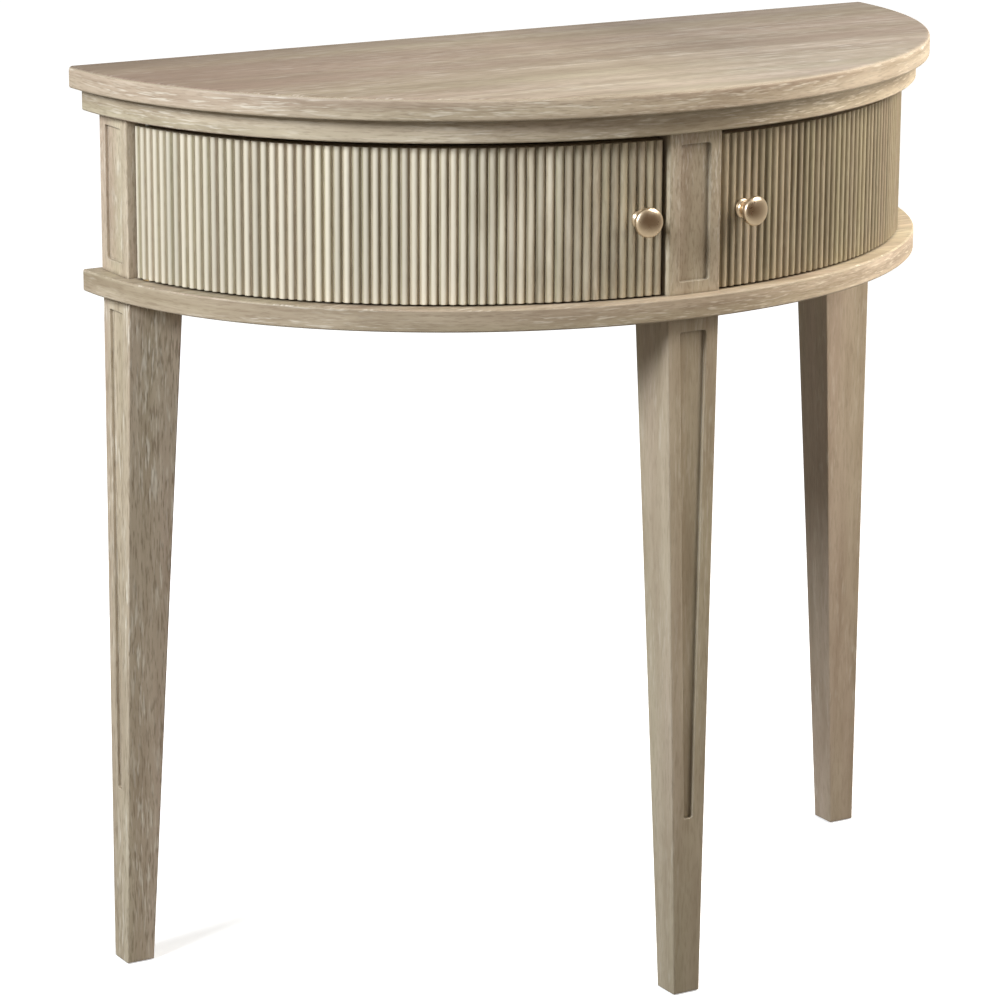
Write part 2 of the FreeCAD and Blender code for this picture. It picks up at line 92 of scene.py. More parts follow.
class NodeSheet:
    """Lays nodes on one tree and joins them by the names of their sockets."""

    def __init__(self, tree: bpy.types.NodeTree) -> None:
        """Keeps the tree that the nodes go on."""
        self.tree = tree

    def feed(self, socket: bpy.types.NodeSocket, value: Feed) -> None:
        """Joins an input to another node's output, or sets its constant.

        Args:
            socket: the input.
            value: an output socket, or the constant.
        """
        if isinstance(value, bpy.types.NodeSocket):
            self.tree.links.new(value, socket)
        elif socket.type == "RGBA" and len(value) == 3:
            socket.default_value = (*value, 1.0)
        else:
            socket.default_value = value

    def fill(self, node: bpy.types.Node, **values: Feed) -> None:
        """Fills inputs of a node.

        Args:
            node: the node.
            values: its inputs by name, with an underscore for a space.
        """
        for name, value in values.items():
            self.feed(node.inputs[name.replace("_", " ")], value)

    def add(self, kind: str, settings: Mapping[str, object] | None = None,
            **values: Feed) -> bpy.types.Node:
        """Adds a node and fills its inputs.

        Args:
            kind: Blender's name for the kind of node.
            settings: properties of the node itself.
            values: its inputs by name, with an underscore for a space.

        Returns:
            The new node.
        """
        node = self.tree.nodes.new(kind)
        for name, value in (settings or {}).items():
            setattr(node, name, value)
        self.fill(node, **values)
        return node

    def terms(self, kind: str, operation: str, values: Sequence[Feed]) -> bpy.types.Node:
        """Adds a node for one sum.

        Args:
            kind: Blender's name for the kind of node.
            operation: Blender's name for the sum.
            values: its terms, in order.

        Returns:
            The new node.
        """
        node = self.add(kind, {"operation": operation})
        for socket, value in zip(node.inputs, values):
            self.feed(socket, value)
        return node

    def math(self, operation: str, *values: Feed) -> bpy.types.NodeSocket:
        """Works out one sum on numbers."""
        return self.terms("ShaderNodeMath", operation, values).outputs[0]

    def vector(self, operation: str, *values: Feed) -> bpy.types.NodeSocket:
        """Works out one sum on vectors, which gives a number for a length."""
        outputs = self.terms("ShaderNodeVectorMath", operation, values).outputs
        return outputs["Value" if operation in NUMBER_SUMS else "Vector"]

    def times(self, first: Feed, second: Feed) -> bpy.types.NodeSocket:
        """Multiplies two numbers."""
        return self.math("MULTIPLY", first, second)

    def split(self, value: Feed) -> tuple[bpy.types.NodeSocket, ...]:
        """Parts a vector into its three numbers."""
        return tuple(self.add("ShaderNodeSeparateXYZ", Vector=value).outputs)

    def join(self, x: Feed, y: Feed, z: Feed) -> bpy.types.NodeSocket:
        """Makes a vector of three numbers."""
        return self.add("ShaderNodeCombineXYZ", X=x, Y=y, Z=z).outputs[0]

    def evenly(self, value: Feed) -> bpy.types.NodeSocket:
        """Makes a vector of one number three times."""
        return self.join(value, value, value)

    def place(self) -> bpy.types.NodeSocket:
        """Gives the place on the piece, in the piece's own coordinates."""
        return self.add("ShaderNodeTexCoord").outputs["Object"]

    def attribute(self, name: str) -> bpy.types.NodeSocket:
        """Reads a number that the piece's mesh carries."""
        return self.add("ShaderNodeAttribute", {"attribute_name": name}).outputs["Fac"]

    def remap(self, value: Feed, low: Feed, high: Feed, to_low: Feed = 0.0,
              to_high: Feed = 1.0) -> bpy.types.NodeSocket:
        """Stretches a range of numbers onto another and holds it at the ends.

        Args:
            value: the number.
            low: the start of its range.
            high: the end of its range.
            to_low: what the start becomes.
            to_high: what the end becomes.

        Returns:
            The result's socket.
        """
        node = self.add("ShaderNodeMapRange", Value=value, From_Min=low, From_Max=high,
                        To_Min=to_low, To_Max=to_high)
        return node.outputs[0]

    def mix(self, kind: MixKind, share: Feed, first: Feed, second: Feed,
            mode: str = "MIX") -> bpy.types.NodeSocket:
        """Mixes two colours or two vectors.

        Args:
            kind: which of the two.
            share: how much of the second.
            first: the one underneath.
            second: the one on top.
            mode: Blender's name for the way that colours mix.

        Returns:
            The result's socket.
        """
        data_type, places, result = kind.value
        node = self.add("ShaderNodeMix", {"data_type": data_type, "blend_type": mode})
        for place, value in zip(places, (share, first, second)):
            self.feed(node.inputs[place], value)
        return node.outputs[result]

    def blend(self, share: Feed, first: Feed, second: Feed) -> bpy.types.NodeSocket:
        """Lays a share of the second colour over the first."""
        return self.mix(MixKind.COLOUR, share, first, second)

    def tinted(self, colour: Feed, tint: Feed, share: Feed = 1.0) -> bpy.types.NodeSocket:
        """Multiplies a colour by a tint, wholly or by a share."""
        return self.mix(MixKind.COLOUR, share, colour, tint, "MULTIPLY")

    def noise(self, where: Feed, scale: Triple | None = None, detail: float = 2.0,
              rough: float = 0.5) -> bpy.types.NodeSocket:
        """Adds a noise whose cells measure one unit of the vector that it follows.

        Args:
            where: the vector.
            scale: what its parts are multiplied by first, if anything.
            detail: how many finer layers it has.
            rough: how strong the finer layers are.

        Returns:
            The socket of its value, mostly between 0.3 and 0.7.
        """
        followed = self.vector("MULTIPLY", where, scale) if scale else where
        return self.add("ShaderNodeTexNoise", Vector=followed, Scale=1.0, Detail=detail,
                        Roughness=rough).outputs[0]


def new_group(name: str, kind: str, inputs: Sequence[tuple[str, str, object]],
              outputs: Sequence[tuple[str, str]]) -> tuple[NodeSheet, Mapping, bpy.types.Node]:
    """Starts a node group with its named sockets.

    Args:
        name: the group's name.
        kind: ShaderNodeTree or GeometryNodeTree.
        inputs: name, socket kind and first value of each input.
        outputs: name and socket kind of each output.

    Returns:
        The sheet to lay its nodes on, its inputs by name, and its output node.
    """
    tree = bpy.data.node_groups.new(name, kind)
    for title, socket_kind, value in inputs:
        socket = tree.interface.new_socket(title, in_out="INPUT", socket_type=socket_kind)
        if value is not None:
            socket.default_value = value
    for title, socket_kind in outputs:
        tree.interface.new_socket(title, in_out="OUTPUT", socket_type=socket_kind)
    sheet = NodeSheet(tree)
    return sheet, sheet.add("NodeGroupInput").outputs, sheet.add("NodeGroupOutput")


class Effect(Enum):
    """The shader effects that several finishes share, each a node group."""

    GRAIN = "oak_grain"
    EDGE = "worn_edge"
    GLAZE = "glaze_in_corners"
    SMUDGE = "handling_smudge"

    def tree(self) -> bpy.types.NodeTree:
        """Gives the effect's group, made the first time that it is asked for."""
        found = bpy.data.node_groups.get(self.value)
        return found or EFFECT_MAKERS[self](self.value)


@dataclass(frozen=True)
class GrainLayers:
    """The layers of the grain: their scales, and the ranges of noise that they use.

    The scale of the wander is for metres, and the other scales are for the length and width of a pore.
    """

    wander: Triple = (3.0, 18.0, 18.0)
    wander_reach: float = 0.012
    crowd: Triple = (0.16, 0.10, 0.10)
    crowd_range: Range = (0.38, 0.60)
    filled_range: Range = (0.53, 0.68)
    fine: Triple = (1.5, 1.3, 1.3)
    fine_shift: Triple = (5.2, 1.3, 8.1)
    open_range: Range = (0.50, 0.66)
    streak: Triple = (0.06, 0.20, 0.20)
    streak_share: float = 0.4
    patch: Triple = (0.05, 0.028, 0.028)
    patch_share: float = 0.3
    mottle: Triple = (0.30, 0.16, 0.16)
    mottle_share: float = 0.3
    tone_range: Range = (0.38, 0.62)
    hue: Triple = (0.03, 0.05, 0.05)
    hue_range: Range = (0.35, 0.65)
    detail: float = 3.0
    rough: float = 0.6


def make_grain(name: str) -> bpy.types.NodeTree:
    """Builds the grain of limed oak along the first axis of the vector that it is given.

    Args:
        name: the group's name.

    Returns:
        The group, which puts out the tone of the wood, the masks of its filled and open pores, a
        drift of hue and the height of the grain.
    """
    layers = GrainLayers()
    sheet, given, result = new_group(
        name, "ShaderNodeTree",
        [("Vector", PLACE, (0.0, 0.0, 0.0)), ("Pore Length", NUMBER, 0.020), ("Pore Width", NUMBER, 0.0022)],
        [(title, NUMBER) for title in ("Tone", "Filled", "Open", "Hue", "Height")])
    wander = sheet.noise(given["Vector"], layers.wander)
    drift = sheet.times(sheet.math("SUBTRACT", wander, NOISE_MIDDLE), layers.wander_reach)
    along, across, deep = sheet.split(given["Vector"])
    space = sheet.join(sheet.math("DIVIDE", along, given["Pore Length"]),
                       sheet.math("DIVIDE", sheet.math("ADD", across, drift), given["Pore Width"]),
                       sheet.math("DIVIDE", deep, given["Pore Width"]))
    pores = sheet.noise(space, rough=layers.rough)
    crowd = sheet.remap(sheet.noise(space, layers.crowd), *layers.crowd_range)
    fine_space = sheet.vector("ADD", sheet.vector("MULTIPLY", space, layers.fine), layers.fine_shift)
    fine = sheet.noise(fine_space, rough=layers.rough)
    streak = sheet.noise(space, layers.streak, layers.detail)
    patch = sheet.noise(space, layers.patch)
    mottle = sheet.noise(space, layers.mottle, layers.detail, layers.rough)
    cloud = sheet.math("ADD", sheet.times(patch, layers.patch_share),
                       sheet.times(mottle, layers.mottle_share))
    tone = sheet.math("ADD", sheet.times(streak, layers.streak_share), cloud)
    sheet.fill(result, Tone=sheet.remap(tone, *layers.tone_range),
               Filled=sheet.times(sheet.remap(pores, *layers.filled_range), crowd),
               Open=sheet.remap(fine, *layers.open_range),
               Hue=sheet.remap(sheet.noise(space, layers.hue), *layers.hue_range),
               Height=sheet.math("SUBTRACT", pores, fine))
    return sheet.tree


def make_edge(name: str) -> bpy.types.NodeTree:
    """Builds the mask of rubbed edges, which the oak paints pale with paste and a painted highlight, and the
    normal of an edge eased by that radius.

    Args:
        name: the group's name.

    Returns:
        The group.
    """
    sheet, given, result = new_group(
        name, "ShaderNodeTree", [("Radius", NUMBER, 0.0012), ("Patch Size", NUMBER, 0.03)],
        [("Mask", NUMBER), ("Normal", PLACE)])
    eased = sheet.add("ShaderNodeBevel", {"samples": EDGE_SAMPLES}, Radius=given["Radius"]).outputs[0]
    plain = sheet.add("ShaderNodeNewGeometry").outputs["Normal"]
    bend = sheet.math("SUBTRACT", 1.0, sheet.vector("DOT_PRODUCT", eased, plain))
    space = sheet.vector("DIVIDE", sheet.place(), sheet.evenly(given["Patch Size"]))
    patches = sheet.noise(space, detail=3.0)
    rubbed = sheet.remap(patches, low=0.3, high=0.6, to_low=0.45)
    sheet.fill(result, Mask=sheet.times(sheet.remap(bend, low=0.01, high=0.22), rubbed), Normal=eased)
    return sheet.tree


def make_glaze_and_shade(name: str) -> bpy.types.NodeTree:
    """Builds the mask of inner corners, gaps and places under other pieces, for wiped glazing and painted
    shade.

    Args:
        name: the group's name.

    Returns:
        The group.
    """
    sheet, given, result = new_group(
        name, "ShaderNodeTree", [("Reach", NUMBER, 0.008)], [("Mask", NUMBER)])
    light = sheet.add("ShaderNodeAmbientOcclusion", {"samples": EDGE_SAMPLES}, Distance=given["Reach"])
    shut = sheet.remap(light.outputs["AO"], low=0.20, high=0.85, to_low=1.0, to_high=0.0)
    sheet.fill(result, Mask=shut)
    return sheet.tree


def make_smudge(name: str) -> bpy.types.NodeTree:
    """Builds the faint patches that hands leave on metal and plastic.

    Args:
        name: the group's name.

    Returns:
        The group.
    """
    sheet, given, result = new_group(
        name, "ShaderNodeTree", [("Patch Size", NUMBER, 0.006)], [("Mask", NUMBER), ("Height", NUMBER)])
    finer: Triple = (14.0, 14.0, 14.0)
    space = sheet.vector("DIVIDE", sheet.place(), sheet.evenly(given["Patch Size"]))
    patches = sheet.noise(space, detail=4.0, rough=0.6)
    sheet.fill(result, Mask=sheet.remap(patches, low=0.3, high=0.7), Height=sheet.noise(space, finer))
    return sheet.tree


EFFECT_MAKERS = {Effect.GRAIN: make_grain, Effect.EDGE: make_edge, Effect.GLAZE: make_glaze_and_shade,
                 Effect.SMUDGE: make_smudge}


class GrainRun(Enum):
    """Which way the grain runs on a piece of oak."""

    BOARD = "along the width, and round the curved edge"
    PANEL = "along the width of a flat panel"
    UPRIGHT = "up the piece"


@dataclass(frozen=True)
class Finish:
    """What all finishes share: a named material with one shader and its effects."""

    name: str

    def material(self) -> bpy.types.Material:
        """Builds the finish.

        Returns:
            The material.
        """
        material = bpy.data.materials.new(self.name)
        material.use_nodes = True
        material.node_tree.nodes.clear()
        sheet = NodeSheet(material.node_tree)
        shader = sheet.add("ShaderNodeBsdfPrincipled")
        sheet.add("ShaderNodeOutputMaterial", Surface=shader.outputs[0])
        self.lay(sheet, shader)
        return material

    def lay(self, sheet: NodeSheet, shader: bpy.types.Node) -> None:
        """Lays the nodes that feed the shader, which each kind of finish does in its own way."""
        raise NotImplementedError

    def effect(self, sheet: NodeSheet, kind: Effect, **values: Feed) -> Mapping:
        """Places a shared effect in the material with its own values, and gives its outputs."""
        return sheet.add("ShaderNodeGroup", {"node_tree": kind.tree()}, **values).outputs


class Axis(Enum):
    """The ways across the table, by their places in a vector."""

    WIDTH = 0
    DEPTH = 1
    HEIGHT = 2


@dataclass(frozen=True)
class PaintedLightDrift:
    """A slow change of tint along one axis of a piece: painted light and shade, paler where more light falls
    and darker where less does.
    """

    axis: Axis
    start: float
    end: float
    start_tint: Colour
    end_tint: Colour = PLAIN
    upper_only: bool = False
    upper_range: Range = (0.5, 0.9)


@dataclass(frozen=True)
class LimedOak(Finish):
    """Oak stained taupe, with pale paste left in its pores, brown glazing and painted shade in its corners, a
    painted highlight on its edges and painted light and shade over it.
    """

    run: GrainRun
    offset: float = 0.0
    deep: Colour = (0.215, 0.158, 0.104)
    wood: Colour = (0.371, 0.291, 0.211)
    pale: Colour = (0.521, 0.433, 0.334)
    paste: Colour = (0.720, 0.660, 0.550)
    glaze: Colour = (0.075, 0.053, 0.030)
    pink: Colour = (1.03, 0.985, 0.985)
    olive: Colour = (0.98, 1.01, 0.93)
    shade: float = 1.0
    pore_length: float = 0.020
    pore_width: float = 0.0022
    filled: float = 0.60
    opened: float = 0.30
    edge_radius: float = 0.0014
    edge_paste_and_highlight: float = 0.45
    edge_fineness: float = 1.7
    corner: float = 0.75
    corner_reach: float = 0.0055
    rough_range: Range = (0.46, 0.58)
    gloss: float = 0.42
    relief: float = 0.25
    relief_depth: float = 0.0004
    level_range: Range = (0.45, 0.75)
    rear_range: Range = (0.80, 0.95)
    painted_light_drifts: tuple[PaintedLightDrift, ...] = ()

    def grain_space(self, sheet: NodeSheet) -> bpy.types.NodeSocket:
        """Turns the piece's own coordinates so that the grain runs along the first axis.

        Args:
            sheet: the material's sheet.

        Returns:
            The turned coordinates, in metres.
        """
        shifted = sheet.add("ShaderNodeMapping", Vector=sheet.place(),
                            Location=(self.offset, self.offset, self.offset)).outputs[0]
        if self.run is GrainRun.PANEL:
            return shifted
        across, deep, height = sheet.split(shifted)
        if self.run is GrainRun.BOARD:
            return self.board_space(sheet, shifted, height)
        return sheet.join(height, across, deep)

    def board_space(self, sheet: NodeSheet, shifted: Feed, height: Feed) -> bpy.types.NodeSocket:
        """Runs the grain along a board's width, and round its curved edge.

        Args:
            sheet: the material's sheet.
            shifted: the place on the piece, moved to this board's cut of oak.
            height: the height part of that place.

        Returns:
            The turned coordinates, in metres.
        """
        plan = Plan.of_frame()
        coordinates = sheet.add("ShaderNodeTexCoord").outputs
        across, deep, _ = sheet.split(coordinates["Object"])
        turn = sheet.math("ARCTAN2", across, sheet.math("SUBTRACT", plan.back, deep))
        run = sheet.times(turn, plan.depth * self.edge_fineness)
        rise = sheet.times(height, self.edge_fineness)
        edge = sheet.join(sheet.math("ADD", run, self.offset), rise, self.offset)
        _, rearward, upward = sheet.split(coordinates["Normal"])
        flat = sheet.math("MAXIMUM", sheet.remap(sheet.math("ABSOLUTE", upward), *self.level_range),
                          sheet.remap(rearward, *self.rear_range))
        return sheet.mix(MixKind.VECTOR, flat, edge, shifted)

    def lay(self, sheet: NodeSheet, shader: bpy.types.Node) -> None:
        """Lays the grain, the paste in its pores, the wear, the painted shade in its corners, the painted
        highlight on its edges and the painted light and shade that change over the piece.

        Args:
            sheet: the material's sheet.
            shader: its shader.
        """
        grain = self.effect(sheet, Effect.GRAIN, Vector=self.grain_space(sheet),
                            Pore_Length=self.pore_length, Pore_Width=self.pore_width)
        edge = self.effect(sheet, Effect.EDGE, Radius=self.edge_radius)
        tone = sheet.blend(grain["Tone"], self.shaded(self.wood), self.shaded(self.pale))
        stained = sheet.tinted(tone, sheet.blend(grain["Hue"], self.pink, self.olive))
        pored = sheet.blend(sheet.times(grain["Open"], self.opened), stained, self.shaded(self.deep))
        limed = sheet.blend(sheet.times(grain["Filled"], self.filled), pored, self.shaded(self.paste))
        # Painted shade in corners and a painted highlight on edges, then painted light and shade that change
        # over the piece
        worn = self.wear(sheet, limed, edge["Mask"])
        for drift in self.painted_light_drifts:
            worn = self.painted_light_drifted(sheet, worn, drift)
        bump = sheet.add("ShaderNodeBump", Strength=self.relief, Distance=self.relief_depth,
                         Height=grain["Height"], Normal=edge["Normal"])
        sheet.fill(shader, Base_Color=worn, Roughness=sheet.remap(grain["Tone"], 0.0, 1.0, *self.rough_range),
                   Specular_IOR_Level=self.gloss, Normal=bump.outputs[0])

    def shaded(self, colour: Colour) -> Colour:
        """Makes a colour lighter or darker by this piece's shade factor."""
        return tuple(part * self.shade for part in colour)

    def painted_light_drifted(self, sheet: NodeSheet, oak: Feed, drift: PaintedLightDrift) -> bpy.types.NodeSocket:
        """Paints light and shade on the oak that change slowly along the piece.

        Args:
            sheet: the material's sheet.
            oak: the colour of the oak.
            drift: where and how much it changes.

        Returns:
            The colour's socket.
        """
        coordinates = sheet.add("ShaderNodeTexCoord").outputs
        place = sheet.split(coordinates["Object"])[drift.axis.value]
        tint = sheet.blend(sheet.remap(place, drift.start, drift.end), drift.start_tint, drift.end_tint)
        if not drift.upper_only:
            return sheet.tinted(oak, tint)
        upward = sheet.split(coordinates["Normal"])[Axis.HEIGHT.value]
        return sheet.tinted(oak, tint, sheet.remap(upward, *drift.upper_range))

    def wear(self, sheet: NodeSheet, limed: Feed, rubbed: Feed) -> bpy.types.NodeSocket:
        """Leaves glazing and painted shade in the inner corners and gaps, and rubs the edges pale with paste
        and a painted highlight.

        Args:
            sheet: the material's sheet.
            limed: the colour of the oak.
            rubbed: the mask of its edges.

        Returns:
            The colour's socket.
        """
        # Painted shade: the dark glaze colour laid where neighbouring surfaces close in, in corners, gaps and
        # under other pieces
        shut = self.effect(sheet, Effect.GLAZE, Reach=self.corner_reach)
        glazed_and_shaded = sheet.blend(sheet.times(shut["Mask"], self.corner), limed, self.glaze)
        # Pale paste and a painted highlight along the edges
        return sheet.blend(sheet.times(rubbed, self.edge_paste_and_highlight), glazed_and_shaded, self.paste)


@dataclass(frozen=True)
class ReededOak(LimedOak):
    """The oak of the reeds, each from its own part of the wood, with paste and a painted highlight along its
    crest.
    """

    run: GrainRun = GrainRun.UPRIGHT
    wood: Colour = (0.405, 0.338, 0.234)
    pale: Colour = (0.462, 0.394, 0.280)
    paste: Colour = (0.735, 0.660, 0.525)
    glaze: Colour = (0.115, 0.088, 0.045)
    filled: float = 0.30
    opened: float = 0.35
    reed_offset: float = 7.0
    patch_scale: Triple = (24.0, 24.0, 11.0)
    streak_scale: Triple = (95.0, 95.0, 12.0)
    detail: float = 3.0
    paste_and_light_wander: float = 0.25
    middle: float = -0.06
    # Paste and a painted highlight on the crests towards the left, and glaze with painted shade on the flanks
    # near the middle
    worn: Ramp = (-0.21, -0.08, 1.0, 0.10)
    glazed_and_shaded: Ramp = (0.12, 0.34, 0.62, 0.14)
    patchy: Ramp = (0.35, 0.65, 0.60, 1.30)
    streaky: Ramp = (0.38, 0.62, 0.50, 1.40)
    # Shares of a reed's height, from its groove to its crest
    groove: Ramp = (0.0, 0.5, 0.85, 0.0)
    flank_rise: Ramp = (0.1, 0.6, 0.0, 1.0)
    flank_fall: Ramp = (0.6, 1.0, 1.0, 0.0)
    crest: Ramp = (0.65, 1.0, 0.0, 1.0)
    # How light each reed is
    bright: Ramp = (0.0, 1.0, 0.86, 1.12)

    def grain_space(self, sheet: NodeSheet) -> bpy.types.NodeSocket:
        """Runs the grain up each reed, and starts it at another height of the wood on each.

        Args:
            sheet: the material's sheet.

        Returns:
            The turned coordinates, in metres.
        """
        height, across, deep = sheet.split(super().grain_space(sheet))
        own = sheet.times(sheet.attribute(REED_TONE), self.reed_offset)
        return sheet.join(sheet.math("ADD", height, own), across, deep)

    def wear(self, sheet: NodeSheet, limed: Feed, rubbed: Feed) -> bpy.types.NodeSocket:
        """Leaves glazing and painted shade on the flanks of the reeds, paste and painted light in their
        grooves, and paste and a painted highlight on their crests.

        Args:
            sheet: the material's sheet.
            limed: the colour of the oak.
            rubbed: the mask of its edges; not used, as the crests take its place here.

        Returns:
            The colour's socket.
        """
        crest = sheet.attribute(REED_CREST)
        where = sheet.place()
        across = sheet.split(where)[Axis.WIDTH.value]
        patch = sheet.noise(where, self.patch_scale, self.detail)
        streak = sheet.noise(where, self.streak_scale, self.detail)
        # Where the crests get paste and a painted highlight, mostly towards the left
        wander = sheet.times(sheet.math("SUBTRACT", patch, NOISE_MIDDLE), self.paste_and_light_wander)
        worn = sheet.remap(sheet.math("ADD", across, wander), *self.worn)
        # Glaze and painted shade on the reeds' flanks, strongest near the middle
        off_middle = sheet.math("ABSOLUTE", sheet.math("SUBTRACT", across, self.middle))
        uneven = sheet.times(sheet.remap(patch, *self.patchy), sheet.remap(streak, *self.streaky))
        strong = sheet.times(sheet.remap(off_middle, *self.glazed_and_shaded), uneven)
        flank = sheet.math("MINIMUM", sheet.remap(crest, *self.flank_rise),
                           sheet.remap(crest, *self.flank_fall))
        # Paste and painted light in the grooves, lifting their shade
        grooved = sheet.blend(sheet.remap(crest, *self.groove), limed, self.paste)
        glazed_and_shaded = sheet.blend(sheet.times(strong, flank), grooved, self.glaze)
        # Paste and a painted highlight on the crests
        pasted_and_highlit = sheet.blend(sheet.times(sheet.remap(crest, *self.crest), worn), glazed_and_shaded, self.paste)
        bright = sheet.remap(sheet.attribute(REED_TONE), *self.bright)
        return sheet.tinted(pasted_and_highlit, sheet.evenly(bright))


@dataclass(frozen=True)
class Handled(Finish):
    """What metal and plastic share: a tint that hands have dulled in patches."""

    tint: Colour
    dull: Colour
    roughness: float
    rough_rise: float = 0.09
    patch_size: float = 0.006
    patch_share: float = 0.5
    edge_radius: float = 0.0004
    edge_patch: float = 0.004
    relief: float = 0.04
    relief_depth: float = 0.0001
    metallic: float = 1.0

    def edge_tint(self) -> Colour:
        """Gives the colour of a rubbed edge."""
        return self.tint

    def lay(self, sheet: NodeSheet, shader: bpy.types.Node) -> None:
        """Lays the tint, the patches that hands left and the rubbed edges.

        Args:
            sheet: the material's sheet.
            shader: its shader.
        """
        smudge = self.effect(sheet, Effect.SMUDGE, Patch_Size=self.patch_size)
        edge = self.effect(sheet, Effect.EDGE, Radius=self.edge_radius, Patch_Size=self.edge_patch)
        handled = sheet.blend(sheet.times(smudge["Mask"], self.patch_share), self.tint, self.dull)
        rough = sheet.remap(smudge["Mask"], 0.0, 1.0, self.roughness, self.roughness + self.rough_rise)
        bump = sheet.add("ShaderNodeBump", Strength=self.relief, Distance=self.relief_depth,
                         Height=smudge["Height"], Normal=edge["Normal"])
        sheet.fill(shader, Base_Color=sheet.blend(edge["Mask"], handled, self.edge_tint()), Roughness=rough,
                   Metallic=self.metallic, Normal=bump.outputs[0])


@dataclass(frozen=True)
class Metal(Handled):
    """A metal with its own tint, bright along its edges."""


@dataclass(frozen=True)
class Moulded(Handled):
    """A matt moulded plastic, worn pale along its edges."""

    rough_rise: float = 0.15
    patch_size: float = 0.003
    patch_share: float = 0.3
    edge_radius: float = 0.0006
    relief: float = 0.2
    relief_depth: float = 0.0002
    metallic: float = 0.0

    def edge_tint(self) -> Colour:
        """Gives the colour of a rubbed edge."""
        return self.dull


@dataclass(frozen=True)
class PaleFloor(Finish):
    """A matt white floor that glows towards its far edge, as a studio sweep does."""

    tint: Colour = (0.90, 0.90, 0.90)
    roughness: float = 0.9
    glow: Ramp = (0.7, 3.5, 0.50, 1.0)

    def lay(self, sheet: NodeSheet, shader: bpy.types.Node) -> None:
        """Lays the tint and the glow that grows outwards.

        Args:
            sheet: the material's sheet.
            shader: its shader.
        """
        away = sheet.vector("LENGTH", sheet.place())
        glow = sheet.evenly(sheet.remap(away, *self.glow))
        sheet.fill(shader, Base_Color=self.tint, Roughness=self.roughness, Emission_Color=glow,
                   Emission_Strength=1.0)


@dataclass(frozen=True)
class Plan:
    """The half ellipse that the boards and doors follow, seen from above."""

    half_width: float
    depth: float
    back: float
    steps: int = 400

    @classmethod
    def of_frame(cls) -> "Plan":
        """Takes the half ellipse from the table top of the frame."""
        low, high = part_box("table_top")
        return cls(high.x, high.y - low.y, high.y)

    def point(self, inset: float, angle: float, height: float) -> Vector:
        """Finds a point of the curve that lies inside the top's edge.

        Args:
            inset: how far inside, measured along both axes.
            angle: from the front's middle, towards the right.
            height: above the floor.

        Returns:
            The point.
        """
        return Vector(((self.half_width - inset) * math.sin(angle),
                       self.back - (self.depth - inset) * math.cos(angle), height))

    def outward(self, inset: float, angle: float) -> Vector:
        """Finds the direction that faces out of the curve.

        Args:
            inset: how far the curve lies inside the top's edge.
            angle: from the front's middle, towards the right.

        Returns:
            The direction, of length one.
        """
        return Vector(((self.depth - inset) * math.sin(angle),
                       -(self.half_width - inset) * math.cos(angle), 0.0)).normalized()

    def angle_at_x(self, inset: float, x: float) -> float:
        """Finds the angle where the curve is that far to the right."""
        return math.asin(x / (self.half_width - inset))

    def angle_at_y(self, inset: float, y: float) -> float:
        """Finds the angle where the curve is that near to the wall."""
        return math.acos((self.back - y) / (self.depth - inset))

    def runs(self, inset: float, start: float, end: float) -> list[tuple[float, float]]:
        """Measures the curve step by step between two angles.

        Args:
            inset: how far the curve lies inside the top's edge.
            start: the first angle.
            end: the last angle.

        Returns:
            Each step's angle, with the length of the curve up to it.
        """
        measured = [(start, 0.0)]
        for step in range(1, self.steps + 1):
            last, run = measured[-1]
            angle = start + (end - start) * step / self.steps
            stride = self.point(inset, angle, 0.0) - self.point(inset, last, 0.0)
            measured.append((angle, run + stride.length))
        return measured

    def length(self, inset: float, start: float, end: float) -> float:
        """Measures the whole curve between two angles."""
        return self.runs(inset, start, end)[-1][1]

    def angle_along(self, inset: float, start: float, end: float, share: float) -> float:
        """Finds the angle at a share of the length between two angles.

        Args:
            inset: how far the curve lies inside the top's edge.
            start: the first angle.
            end: the last angle.
            share: of the curve's length.

        Returns:
            The angle.
        """
        measured = self.runs(inset, start, end)
        wanted = share * measured[-1][1]
        for (angle, run), (next_angle, next_run) in zip(measured, measured[1:]):
            if next_run >= wanted:
                return angle + (next_angle - angle) * (wanted - run) / (next_run - run)
        return end


class Side(Enum):
    """The two doors, by the hand that they are on seen from the front."""

    LEFT = "left"
    RIGHT = "right"

    @property
    def sign(self) -> float:
        """Gives the side's direction along the width."""
        return -1.0 if self is Side.LEFT else 1.0


